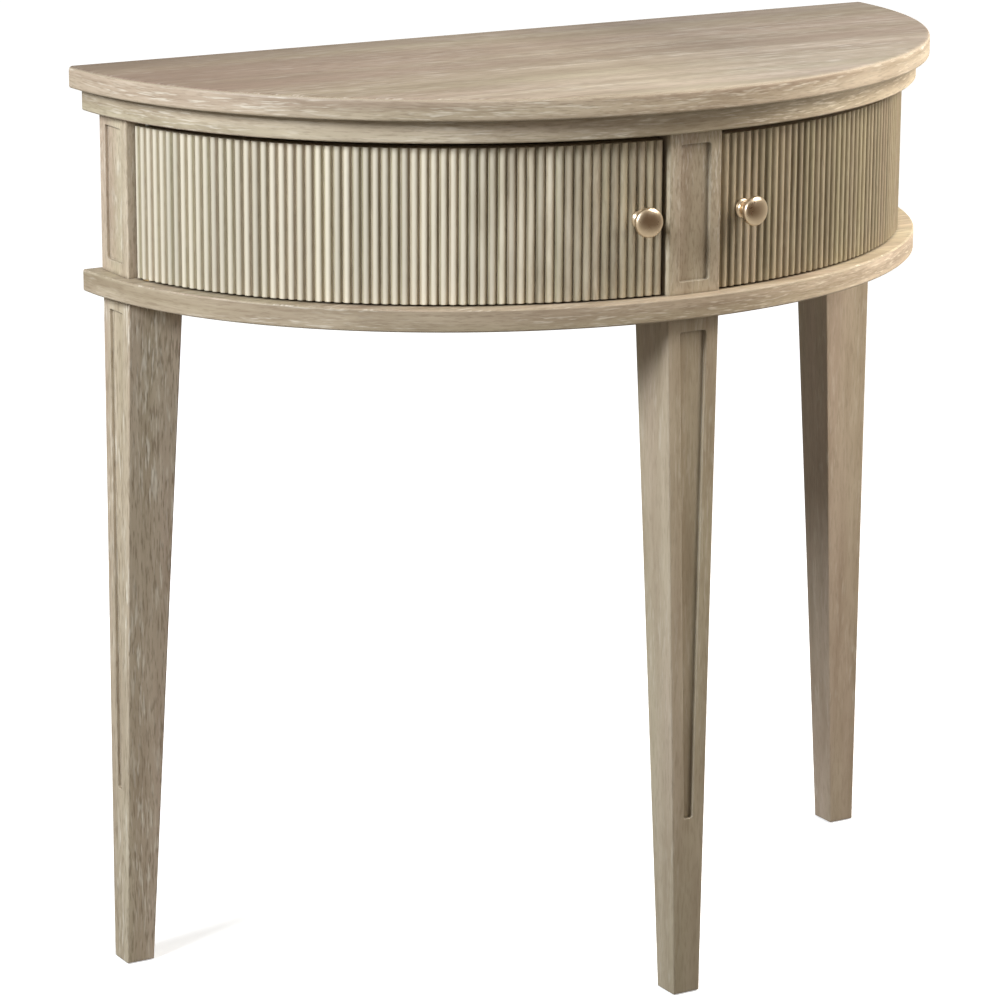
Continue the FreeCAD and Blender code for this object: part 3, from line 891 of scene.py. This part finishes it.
def make_reed_row() -> bpy.types.NodeTree:
    """Builds the tree that sets half-round reeds side by side along a door's curve.

    Returns:
        The tree.
    """
    sheet, given, result = new_group(
        "reed_row", "GeometryNodeTree",
        [("Half Width", NUMBER, 0.4), ("Depth", NUMBER, 0.4), ("Back", NUMBER, 0.2),
         ("Start Angle", NUMBER, 0.0), ("Sweep Angle", NUMBER, 1.0), ("Curve Steps", COUNT, 256),
         ("Reed Count", COUNT, 60), ("Reed Width", NUMBER, 0.009), ("Reed Height", NUMBER, 0.003),
         ("Bottom", NUMBER, 0.0), ("Top", NUMBER, 0.1), ("End Ease", NUMBER, 0.0006),
         ("Facets", COUNT, 11), ("Pin", PLACE, (0.0, 0.0, 0.0)), ("Swing Radius", NUMBER, 0.01),
         ("Unevenness", NUMBER, 0.05), ("Seed", COUNT, 3), ("Material", "NodeSocketMaterial", None)],
        [("Geometry", "NodeSocketGeometry")])
    arc = sheet.add("GeometryNodeCurveArc", {"mode": "RADIUS"}, Resolution=given["Curve Steps"], Radius=1.0,
                    Start_Angle=given["Start Angle"], Sweep_Angle=given["Sweep Angle"])
    curve = sheet.add("GeometryNodeTransform", Geometry=arc.outputs[0],
                      Translation=sheet.join(0.0, given["Back"], 0.0),
                      Scale=sheet.join(given["Half Width"], given["Depth"], 1.0))
    # Each reed stands on the middle of its own share of the curve
    index = sheet.add("GeometryNodeInputIndex").outputs[0]
    share = sheet.math("DIVIDE", sheet.math("ADD", index, 0.5), given["Reed Count"])
    along = sheet.add("GeometryNodeSampleCurve", {"mode": "FACTOR", "use_all_curves": True},
                      Curves=curve.outputs[0], Factor=share)
    places = sheet.add("GeometryNodePoints", Count=given["Reed Count"],
                       Position=along.outputs["Position"])
    chance = sheet.add("FunctionNodeRandomValue", {"data_type": "FLOAT"}, Seed=given["Seed"])
    own = chance.outputs[1]
    toned = sheet.add("GeometryNodeStoreNamedAttribute", POINT_NUMBER, Geometry=places.outputs[0],
                      Name=REED_TONE, Value=own)
    facing = sheet.add("FunctionNodeAlignRotationToVector", {"axis": "X", "pivot_axis": "Z"},
                       Vector=along.outputs["Tangent"])
    grown = sheet.math("SUBTRACT", 1.0, sheet.times(own, given["Unevenness"]))
    laid = sheet.add("GeometryNodeInstanceOnPoints", Points=toned.outputs[0],
                     Instance=reed_solid(sheet, given), Rotation=facing.outputs[0],
                     Scale=sheet.join(1.0, grown, 1.0))
    solid = sheet.add("GeometryNodeRealizeInstances", Geometry=laid.outputs[0])
    # Behind the pivot pin, the last reed is drawn in so that it clears the end stile as it turns
    place = sheet.add("GeometryNodeInputPosition").outputs[0]
    reach = sheet.vector("MULTIPLY", sheet.vector("SUBTRACT", place, given["Pin"]), (1.0, 1.0, 0.0))
    span = sheet.vector("LENGTH", reach)
    behind = sheet.math("GREATER_THAN", sheet.split(reach)[Axis.DEPTH.value], 0.0)
    outside = sheet.math("GREATER_THAN", span, given["Swing Radius"])
    pull = sheet.math("SUBTRACT", sheet.math("DIVIDE", given["Swing Radius"], span), 1.0)
    inward = sheet.add("ShaderNodeVectorMath", {"operation": "SCALE"}, Vector=reach, Scale=pull)
    trimmed = sheet.add("GeometryNodeSetPosition", Geometry=solid.outputs[0],
                        Selection=sheet.times(behind, outside), Offset=inward.outputs[0])
    dressed = sheet.add("GeometryNodeSetMaterial", Geometry=trimmed.outputs[0], Material=given["Material"])
    sheet.fill(result, Geometry=dressed.outputs[0])
    return sheet.tree


def reed_solid(sheet: NodeSheet, given: Mapping) -> bpy.types.NodeSocket:
    """Lays the nodes of one reed, a half-round strip with its ends eased.

    Args:
        sheet: the tree's sheet.
        given: the tree's inputs by name.

    Returns:
        The reed's geometry, standing at the origin with its crest towards the front.
    """
    half = sheet.times(given["Reed Width"], 0.5)
    crest = sheet.times(given["Reed Height"], -1.0)
    arc = sheet.add("GeometryNodeCurveArc", {"mode": "POINTS"}, Resolution=given["Facets"],
                    Start=sheet.join(sheet.times(half, -1.0), 0.0, 0.0),
                    Middle=sheet.join(0.0, crest, 0.0), End=sheet.join(half, 0.0, 0.0))
    section = sheet.add("GeometryNodeSetSplineCyclic", Geometry=arc.outputs[0], Cyclic=True)
    line = sheet.add("GeometryNodeCurvePrimitiveLine", Start=(0.0, 0.0, 0.0), End=(0.0, 0.0, 1.0))
    heights = (given["Bottom"], sheet.math("ADD", given["Bottom"], given["End Ease"]),
               sheet.math("SUBTRACT", given["Top"], given["End Ease"]), given["Top"])
    rungs = sheet.add("GeometryNodeResampleCurve", {"mode": "COUNT"}, Curve=line.outputs[0],
                      Count=len(heights))
    step = sheet.add("GeometryNodeInputIndex").outputs[0]
    level = sheet.add("GeometryNodeIndexSwitch", {"data_type": "FLOAT"}, Index=step)
    # The switch starts with two of the items that it needs
    level.index_switch_items.new()
    level.index_switch_items.new()
    for socket, height in zip(list(level.inputs)[1:], heights):
        sheet.feed(socket, height)
    raised = sheet.add("GeometryNodeSetPosition", Geometry=rungs.outputs[0],
                       Position=sheet.join(0.0, 0.0, level.outputs[0]))
    # The two rungs between the ends have the full girth
    between, nearness = 1.5, 0.6
    inner = sheet.math("COMPARE", step, between, nearness)
    narrowing = sheet.math("SUBTRACT", 1.0, sheet.math("DIVIDE", given["End Ease"], half))
    girth = sheet.math("ADD", sheet.times(inner, sheet.math("SUBTRACT", 1.0, narrowing)), narrowing)
    eased = sheet.add("GeometryNodeSetCurveRadius", Curve=raised.outputs[0], Radius=girth)
    strip = sheet.add("GeometryNodeCurveToMesh", Curve=eased.outputs[0],
                      Profile_Curve=section.outputs[0], Fill_Caps=True)
    place = sheet.add("GeometryNodeInputPosition").outputs[0]
    depth = sheet.math("DIVIDE", sheet.split(place)[Axis.DEPTH.value], crest)
    marked = sheet.add("GeometryNodeStoreNamedAttribute", POINT_NUMBER, Geometry=strip.outputs[0],
                       Name=REED_CREST, Value=depth)
    return marked.outputs[0]


def set_out(name: str, data: bpy.types.ID) -> bpy.types.Object:
    """Puts a mesh, a lamp or a lens in the scene.

    Args:
        name: the object's name.
        data: what it shows.

    Returns:
        The object, at the origin.
    """
    thing = bpy.data.objects.new(name, data)
    bpy.context.scene.collection.objects.link(thing)
    return thing


def grow(name: str, tree: bpy.types.NodeTree, values: Mapping[str, Feed]) -> bpy.types.Object:
    """Makes a plain mesh of what a tree builds.

    Args:
        name: the piece's name.
        tree: the tree.
        values: its inputs by name.

    Returns:
        The piece, at the origin.
    """
    piece = set_out(name, bpy.data.meshes.new(name))
    maker = piece.modifiers.new("maker", "NODES")
    maker.node_group = tree
    for socket in tree.interface.items_tree:
        if socket.in_out == "INPUT" and socket.name in values:
            maker[socket.identifier] = values[socket.name]
    grown = piece.evaluated_get(bpy.context.evaluated_depsgraph_get())
    mesh = bpy.data.meshes.new_from_object(grown)
    piece.modifiers.remove(maker)
    piece.data = mesh
    mesh.name = name
    return piece


def dress(node: str, material: bpy.types.Material) -> None:
    """Gives a CAD node a finish and reports it.

    Args:
        node: the node's name.
        material: the finish.
    """
    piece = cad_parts[node]
    for slot in piece.material_slots:
        slot.material = material
    LOG.info("dressed %s with %s", node, material.name)


@dataclass
class CaseBoards:
    """The half-round boards, the back panel and the door stop."""

    boards: tuple[str, ...] = ("table_top", "sub_top", "base_board")
    pore_length: float = 0.034
    pore_width: float = 0.0031
    wood: Colour = (0.335, 0.266, 0.192)
    pale: Colour = (0.550, 0.466, 0.358)
    filled: float = 0.70
    opened: float = 0.40
    cut_step: float = 0.37
    back_cut: float = 2.3
    back_filled: float = 0.35
    stop_cut: float = 2.9
    # Painted light and shade: the top is paler to the right and in front of its middle, and darker towards
    # the wall, and all three boards grow paler towards their right ends
    painted_light_drifts: tuple[tuple[PaintedLightDrift, ...], ...] = (
        (PaintedLightDrift(Axis.WIDTH, -0.38, -0.02, (0.74, 0.67, 0.66), (0.975, 0.965, 0.985), upper_only=True),
         PaintedLightDrift(Axis.WIDTH, 0.02, 0.19, (0.98, 0.96, 0.94), (1.32, 1.35, 1.40)),
         PaintedLightDrift(Axis.WIDTH, -0.02, 0.15, PLAIN, (0.60, 0.585, 0.58), upper_only=True),
         PaintedLightDrift(Axis.DEPTH, -0.022, 0.004, (1.16, 1.21, 1.28), (0.89, 0.90, 0.93), upper_only=True),
         PaintedLightDrift(Axis.DEPTH, 0.145, 0.175, PLAIN, (0.84, 0.83, 0.86), upper_only=True)),
        (PaintedLightDrift(Axis.WIDTH, 0.02, 0.19, (1.0, 0.99, 0.99), (1.34, 1.34, 1.36)),),
        (PaintedLightDrift(Axis.WIDTH, 0.02, 0.19, (0.98, 0.95, 0.93), (1.38, 1.39, 1.40)),))

    def finish(self) -> None:
        """Dresses each board in oak of its own cut."""
        for index, (board, painted_light_drifts) in enumerate(zip(self.boards, self.painted_light_drifts)):
            oak = LimedOak(f"oak_{board}", GrainRun.BOARD, offset=self.cut_step * (index + 1),
                           wood=self.wood, pale=self.pale, filled=self.filled, opened=self.opened,
                           pore_length=self.pore_length, pore_width=self.pore_width, painted_light_drifts=painted_light_drifts)
            dress(board, oak.material())
        back = LimedOak("oak_back_panel", GrainRun.PANEL, offset=self.back_cut, filled=self.back_filled,
                        pore_length=self.pore_length, pore_width=self.pore_width)
        dress("back_panel", back.material())
        stop = LimedOak("oak_door_stop", GrainRun.UPRIGHT, offset=self.stop_cut)
        dress("door_stop", stop.material())


@dataclass(frozen=True)
class Cut:
    """One post's own piece of oak: how much its pores show, how light it is, and how much painted shade
    darkens it towards its foot.
    """

    node: str
    filled: float = 0.60
    opened: float = 0.45
    shade: float = 1.0
    pore_length: float = 0.015
    pore_width: float = 0.0028
    foot_shade: float = 1.0


@dataclass
class Posts:
    """The three panelled stiles and the three tapered legs under them."""

    cuts: tuple[Cut, ...] = (
        Cut("centre_stile", shade=0.95), Cut("left_end_stile", shade=1.10), Cut("right_end_stile"),
        Cut("front_leg", filled=0.28, opened=0.25, pore_length=0.024, foot_shade=0.84),
        Cut("left_leg", filled=0.95, opened=0.65, shade=1.12, pore_length=0.026,
            pore_width=0.0026, foot_shade=0.93),
        Cut("right_leg", filled=0.28, opened=0.22, shade=1.06, pore_length=0.024, foot_shade=0.88))
    cut_step: float = 0.61
    corner: float = 0.6
    foot_reach: float = 0.5

    def finish(self) -> None:
        """Dresses each post in its own oak."""
        for index, cut in enumerate(self.cuts):
            # Painted shade: each post grows darker towards its foot
            foot = PaintedLightDrift(Axis.HEIGHT, 0.0, self.foot_reach, (cut.foot_shade,) * 3)
            oak = LimedOak(f"oak_{cut.node}", GrainRun.UPRIGHT, offset=self.cut_step * (index + 1),
                           filled=cut.filled, opened=cut.opened, shade=cut.shade, corner=self.corner,
                           pore_length=cut.pore_length, pore_width=cut.pore_width, painted_light_drifts=(foot,))
            dress(cut.node, oak.material())


@dataclass
class TurnedKnob:
    """A knob turned in metal: rose, collar, tapered neck and domed head."""

    rose_radius: float = 0.0090
    rose_thickness: float = 0.0020
    collar_radius: float = 0.0074
    collar_height: float = 0.0022
    stem_radius: float = 0.0052
    taper: float = 0.0032
    neck_height: float = 0.0124
    head_radius: float = 0.0140
    rim_low: float = 0.0174
    rim_high: float = 0.0190
    height: float = 0.0240
    seat: float = 0.0001
    turns: int = 96
    arc_steps: int = 14
    corner_steps: int = 4
    weld: float = 0.000001
    sharp_from: float = math.radians(50.0)

    def profile(self) -> list[tuple[float, float]]:
        """Draws the half section, from the seat's middle to the top's middle.

        Returns:
            Radius and height of each point.
        """
        line = [(0.0, self.seat)]
        step_top = self.rose_thickness + self.collar_height
        soft = self.rose_thickness / 4.0
        # The rose's two rims and the collar's upper rim
        line += self.corner(self.rose_radius, self.seat, soft, -QUARTER_TURN, 0.0, 1.0)
        line += self.corner(self.rose_radius, self.rose_thickness, soft, 0.0, QUARTER_TURN, -1.0)
        line += self.corner(self.collar_radius, step_top, soft, 0.0, QUARTER_TURN, -1.0)
        # The neck, which dips and then swells up to the head
        waist = self.stem_radius - self.taper / 4.0
        for step in range(self.arc_steps + 1):
            share = step / self.arc_steps
            swell = self.taper * (share ** 2) / 2.0
            dip = math.sin(math.pi * share) * self.taper / 8.0
            line.append((waist + swell - dip, step_top + share * (self.neck_height - step_top)))
        # The head's hollow underside, then its dome
        throat = line[-1][0]
        for step in range(1, self.arc_steps + 1):
            angle = QUARTER_TURN * step / self.arc_steps
            line.append((throat + (self.head_radius - throat) * math.sin(angle),
                         self.neck_height + (self.rim_low - self.neck_height) * (1.0 - math.cos(angle))))
        for step in range(self.arc_steps + 1):
            angle = QUARTER_TURN * step / self.arc_steps
            line.append((self.head_radius * math.cos(angle),
                         self.rim_high + (self.height - self.rim_high) * math.sin(angle)))
        return line

    def corner(self, radius: float, level: float, soft: float, start: float, end: float,
               side: float) -> list[tuple[float, float]]:
        """Rounds an outer corner of the section.

        Args:
            radius: the corner's distance from the axis.
            level: its height.
            soft: the radius of the rounding.
            start: the first angle of the rounding.
            end: the last angle.
            side: 1 where the rounding lies above the level, -1 where it lies below.

        Returns:
            Radius and height of each point.
        """
        angles = [start + (end - start) * step / self.corner_steps
                  for step in range(self.corner_steps + 1)]
        return [(radius - soft + soft * math.cos(angle), level + side * soft + soft * math.sin(angle))
                for angle in angles]

    def build(self, name: str, seat: Vector, axis: Vector) -> bpy.types.Object:
        """Turns the section about the knob's axis.

        Args:
            name: the piece's name.
            seat: the point of the door that it sits on.
            axis: the direction that it stands out in.

        Returns:
            The knob, in its place.
        """
        turned = bmesh.new()
        ring = [turned.verts.new((radius, 0.0, level)) for radius, level in self.profile()]
        edges = [turned.edges.new(pair) for pair in zip(ring, ring[1:])]
        bmesh.ops.spin(turned, geom=ring + edges, cent=(0.0, 0.0, 0.0), axis=(0.0, 0.0, 1.0),
                       angle=math.tau, steps=self.turns, use_duplicate=False)
        bmesh.ops.remove_doubles(turned, verts=turned.verts, dist=self.weld)
        bmesh.ops.recalc_face_normals(turned, faces=turned.faces)
        facing = Vector((0.0, 0.0, 1.0)).rotation_difference(axis).to_matrix().to_4x4()
        turned.transform(Matrix.Translation(seat) @ facing)
        mesh = bpy.data.meshes.new(name)
        turned.to_mesh(mesh)
        turned.free()
        mesh.shade_smooth()
        mesh.set_sharp_from_angle(angle=self.sharp_from)
        return set_out(name, mesh)


@dataclass
class ReededDoor:
    """One curved door: its core, its row of reeds and its knob."""

    side: Side
    plan: Plan
    knob: TurnedKnob = field(default_factory=TurnedKnob)
    crest_inset: float = 0.0265
    reed_count: int = 60
    reed_clear: float = 0.0001
    reed_height: float = 0.0032
    reed_ease: float = 0.0006
    reed_facets: int = 11
    reed_unevenness: float = 0.05
    reed_seed: int = 3
    sharp_from: float = math.radians(40.0)
    reed_cut: float = 1.7
    core_cut: float = 4.1
    knob_reed_count: int = 2
    knob_reed_share: float = 0.68
    swing_gap: float = 0.0006

    @property
    def foot_inset(self) -> float:
        """Gives how far the reeds' feet lie inside the top's edge."""
        return self.crest_inset + self.reed_height

    def span(self) -> tuple[float, float]:
        """Finds where the reeds start and end on the door's curve.

        Returns:
            The angle at the free end and the angle at the hinge end.
        """
        low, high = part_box(f"{self.side.value}_door_core")
        free = min(abs(low.x), abs(high.x))
        return self.plan.angle_at_x(self.foot_inset, free), self.plan.angle_at_y(self.foot_inset, high.y)

    def drift(self) -> PaintedLightDrift:
        """Gives the painted shade over the reeds: darker at the left end of the left door, and darker on the
        right one towards its right.

        Returns:
            The drift.
        """
        if self.side is Side.LEFT:
            return PaintedLightDrift(Axis.WIDTH, -0.41, -0.27, (0.83, 0.825, 0.82))
        return PaintedLightDrift(Axis.WIDTH, 0.05, 0.38, (0.87, 0.86, 0.85), (0.70, 0.68, 0.65))

    def build_reeds(self, tree: bpy.types.NodeTree) -> None:
        """Lays the reeds on the door, as one piece.

        Args:
            tree: the tree that sets reeds along a curve.
        """
        start, end = self.span()
        low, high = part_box(f"{self.side.value}_door_reeds")
        pin_low, pin_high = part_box(f"{self.side.value}_pivot_pins")
        stile_low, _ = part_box(f"{self.side.value}_end_stile")
        pin = (pin_low + pin_high) / 2.0
        # The reeds' oak carries the door's painted shade
        oak = ReededOak(f"oak_{self.side.value}_reeds", offset=self.reed_cut + self.side.sign,
                        painted_light_drifts=(self.drift(),))
        pitch = self.plan.length(self.foot_inset, start, end) / self.reed_count
        first = (start if self.side is Side.RIGHT else -end) - QUARTER_TURN
        reeds = grow(f"{self.side.value}_reed_row", tree, {
            "Half Width": self.plan.half_width - self.foot_inset,
            "Depth": self.plan.depth - self.foot_inset, "Back": self.plan.back,
            "Start Angle": first, "Sweep Angle": end - start, "Reed Count": self.reed_count,
            "Reed Width": pitch - 2.0 * self.reed_clear, "Reed Height": self.reed_height,
            "Bottom": low.z, "Top": high.z, "End Ease": self.reed_ease,
            "Facets": self.reed_facets, "Unevenness": self.reed_unevenness, "Seed": self.reed_seed,
            "Pin": pin, "Swing Radius": stile_low.y - pin.y - self.swing_gap,
            "Material": oak.material()})
        reeds.data.shade_smooth()
        reeds.data.set_sharp_from_angle(angle=self.sharp_from)
        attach(reeds, f"{self.side.value}_door")
        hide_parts(f"{self.side.value}_door_reeds")
        LOG.info("laid %s with %d faces", reeds.name, len(reeds.data.polygons))

    def build_knob(self, metal: bpy.types.Material) -> None:
        """Turns the knob and sets it on its reed.

        Args:
            metal: the knob's finish.
        """
        start, end = self.span()
        place = (self.knob_reed_count + self.knob_reed_share) / self.reed_count
        angle = self.plan.angle_along(self.foot_inset, start, end, place)
        low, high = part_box(f"{self.side.value}_knob")
        outward = self.plan.outward(self.crest_inset, angle)
        seat = self.plan.point(self.crest_inset, angle, (low.z + high.z) / 2.0)
        mirror = Vector((self.side.sign, 1.0, 1.0))
        knob = self.knob.build(f"{self.side.value}_turned_knob", seat * mirror, outward * mirror)
        knob.data.materials.append(metal)
        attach(knob, f"{self.side.value}_door")
        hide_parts(f"{self.side.value}_knob")
        LOG.info("turned %s with %d faces", knob.name, len(knob.data.polygons))

    def finish(self) -> None:
        """Dresses the core of the door."""
        oak = LimedOak(f"oak_{self.side.value}_core", GrainRun.UPRIGHT,
                       offset=self.core_cut + self.side.sign)
        dress(f"{self.side.value}_door_core", oak.material())


@dataclass
class Fittings:
    """The small metal, beech and nylon pieces that hold the table together."""

    steel: tuple[str, ...] = ("left_knob_screw", "right_knob_screw", "left_strike_plate",
                              "right_strike_plate", "left_pivot_pins", "right_pivot_pins",
                              "leg_studs", "top_screws")
    brass: tuple[str, ...] = ("pivot_bushes",)
    magnets: tuple[str, ...] = ("catch_magnets",)
    beech: tuple[str, ...] = ("leg_dowels", "stile_dowels")
    glides: tuple[str, ...] = ("leg_glides",)

    def finish(self) -> None:
        """Dresses each fitting."""
        zinc = Metal("bright_zinc", tint=(0.62, 0.64, 0.66), dull=(0.46, 0.47, 0.49), roughness=0.32)
        brass = Metal("turned_brass", tint=(0.78, 0.58, 0.28), dull=(0.60, 0.42, 0.20), roughness=0.30)
        nickel = Metal("nickel_plate", tint=(0.70, 0.68, 0.64), dull=(0.55, 0.53, 0.50), roughness=0.26)
        beech = LimedOak("raw_beech", GrainRun.UPRIGHT, deep=(0.42, 0.27, 0.15),
                         wood=(0.58, 0.40, 0.25), pale=(0.68, 0.50, 0.33), paste=(0.70, 0.53, 0.36),
                         glaze=(0.30, 0.19, 0.10), filled=0.3)
        nylon = Moulded("moulded_nylon", tint=(0.022, 0.022, 0.024), dull=(0.060, 0.060, 0.063),
                        roughness=0.48)
        for nodes, finish in ((self.steel, zinc), (self.brass, brass), (self.magnets, nickel),
                              (self.beech, beech), (self.glides, nylon)):
            material = finish.material()
            for node in nodes:
                dress(node, material)


@dataclass(frozen=True)
class Softbox:
    """One square light that faces the table.

    It hangs some degrees to the right of the table's front and above level. Its power is in watts.
    """

    name: str
    turn: float
    rise: float
    distance: float
    size: float
    power: float
    tint: Colour

    def hang(self, aim: Vector, mirrored: bool) -> None:
        """Hangs the light.

        Args:
            aim: the point that it faces.
            mirrored: whether glossy surfaces reflect it.
        """
        lamp = bpy.data.lights.new(self.name, "AREA")
        lamp.size = self.size
        lamp.energy = self.power
        lamp.color = self.tint
        stand = set_out(self.name, lamp)
        stand.visible_camera = False
        stand.visible_glossy = mirrored
        around, above = math.radians(self.turn), math.radians(self.rise)
        away = Vector((math.sin(around) * math.cos(above), -math.cos(around) * math.cos(above),
                       math.sin(above)))
        stand.location = aim + away * self.distance
        stand.rotation_euler = away.to_track_quat("Z", "Y").to_euler()


@dataclass
class Studio:
    """The pale floor, the soft lights and the camera."""

    lights: tuple[Softbox, ...] = (
        Softbox("key_light", turn=-78.0, rise=29.0, distance=3.2, size=0.9, power=109.0, tint=COOL),
        Softbox("front_light", turn=-45.0, rise=14.0, distance=2.8, size=1.2, power=5.0, tint=WARM),
        Softbox("high_fill", turn=50.0, rise=46.0, distance=2.0, size=0.9, power=24.0, tint=WARM),
        Softbox("side_fill", turn=82.0, rise=26.0, distance=2.0, size=1.0, power=25.0, tint=WARM),
        Softbox("low_fill", turn=44.0, rise=14.0, distance=2.0, size=1.0, power=9.0, tint=WARM),
        Softbox("back_light", turn=172.0, rise=24.0, distance=2.6, size=1.2, power=16.0, tint=COOL))
    # The light from all round, and what glossy pieces mirror: a dark room in front, a pale one elsewhere
    bounce: Ramp = (-0.15, 0.15, 0.20, 0.04)
    rearward: Range = (0.24, 0.97)
    dark_range: Range = (-0.93, -0.30)
    dark_room: Colour = (0.105, 0.066, 0.037)
    pale_room: Colour = (0.58, 0.53, 0.44)
    floor_range: Range = (-0.30, -0.75)
    pale_floor: Colour = (0.60, 0.55, 0.46)
    floor_reach: float = 30.0
    camera_place: Vector = field(default_factory=lambda: Vector((-2.04998, -3.27114, 1.47242)))
    camera_yaw: float = math.radians(30.25)
    camera_pitch: float = math.radians(14.75)
    camera_roll: float = math.radians(0.163)
    lens: float = 146.296
    sensor_width: float = 36.0
    shift_across: float = 0.03557
    shift_up: float = -0.00374
    aim: Vector = field(default_factory=lambda: Vector((0.0, 0.0, 0.55)))
    mirrored_above: float = 28.0

    def build(self) -> None:
        """Sets up the floor, the lights and the camera."""
        self.lay_floor()
        self.light()
        self.stand_camera()

    def lay_floor(self) -> None:
        """Lays the floor under the feet."""
        mesh = bpy.data.meshes.new("studio_floor")
        reach = self.floor_reach
        mesh.from_pydata([(-reach, -reach, 0.0), (reach, -reach, 0.0), (reach, reach, 0.0),
                          (-reach, reach, 0.0)], [], [(0, 1, 2, 3)])
        mesh.materials.append(PaleFloor("pale_floor").material())
        floor = set_out("studio_floor", mesh)
        floor.visible_diffuse = False
        floor.visible_glossy = False

    def light(self) -> None:
        """Hangs the lights and sets the light that comes from all round."""
        for softbox in self.lights:
            softbox.hang(self.aim, softbox.rise > self.mirrored_above)
        world = bpy.context.scene.world or bpy.data.worlds.new("studio")
        bpy.context.scene.world = world
        world.use_nodes = True
        world.node_tree.nodes.clear()
        sheet = NodeSheet(world.node_tree)
        across, depth, height = sheet.split(sheet.add("ShaderNodeTexCoord").outputs["Generated"])
        path = sheet.add("ShaderNodeLightPath").outputs
        across_share, depth_share = self.rearward
        rearward = sheet.math("SUBTRACT", sheet.times(depth, depth_share), sheet.times(across, across_share))
        room = sheet.blend(sheet.remap(rearward, *self.dark_range), self.dark_room, self.pale_room)
        mirrored = sheet.blend(sheet.remap(height, *self.floor_range), room, self.pale_floor)
        level = sheet.tinted(sheet.evenly(sheet.remap(height, *self.bounce)), WARM)
        glow = sheet.blend(path["Is Glossy Ray"], level, mirrored)
        around = sheet.add("ShaderNodeBackground", Color=glow, Strength=1.0)
        white = sheet.add("ShaderNodeBackground", Color=PLAIN, Strength=1.0)
        seen = sheet.add("ShaderNodeMixShader", Fac=path["Is Camera Ray"])
        for socket, background in zip(seen.inputs[1:], (around, white)):
            sheet.feed(socket, background.outputs[0])
        sheet.add("ShaderNodeOutputWorld", Surface=seen.outputs[0])
        bpy.context.scene.view_settings.view_transform = "Standard"

    def stand_camera(self) -> None:
        """Stands the camera where the photograph was taken from."""
        yaw, pitch, roll = self.camera_yaw, self.camera_pitch, self.camera_roll
        ahead = Vector((math.sin(yaw) * math.cos(pitch), math.cos(yaw) * math.cos(pitch),
                        -math.sin(pitch)))
        level = Vector((math.cos(yaw), -math.sin(yaw), 0.0))
        upright = level.cross(ahead)
        right = level * math.cos(roll) + upright * math.sin(roll)
        up = upright * math.cos(roll) - level * math.sin(roll)
        lens = bpy.data.cameras.new("photo_camera")
        lens.lens = self.lens
        lens.sensor_width = self.sensor_width
        lens.shift_x = self.shift_across
        lens.shift_y = self.shift_up
        camera = set_out("photo_camera", lens)
        turned = Matrix((right, up, -ahead)).transposed().to_4x4()
        camera.matrix_world = Matrix.Translation(self.camera_place) @ turned
        bpy.context.scene.camera = camera


def main() -> None:
    """Builds and dresses the table, then sets up the studio."""
    logging.basicConfig(level=logging.INFO, format="%(name)s: %(message)s")
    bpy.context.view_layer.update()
    plan = Plan.of_frame()
    CaseBoards().finish()
    Posts().finish()
    champagne = Metal("champagne_plate", tint=(0.86, 0.72, 0.55), dull=(0.76, 0.62, 0.46), roughness=0.26)
    metal = champagne.material()
    tree = make_reed_row()
    for side in Side:
        door = ReededDoor(side, plan)
        door.build_reeds(tree)
        door.build_knob(metal)
        door.finish()
    Fittings().finish()
    Studio().build()


if __name__ == "__main__":
    main()
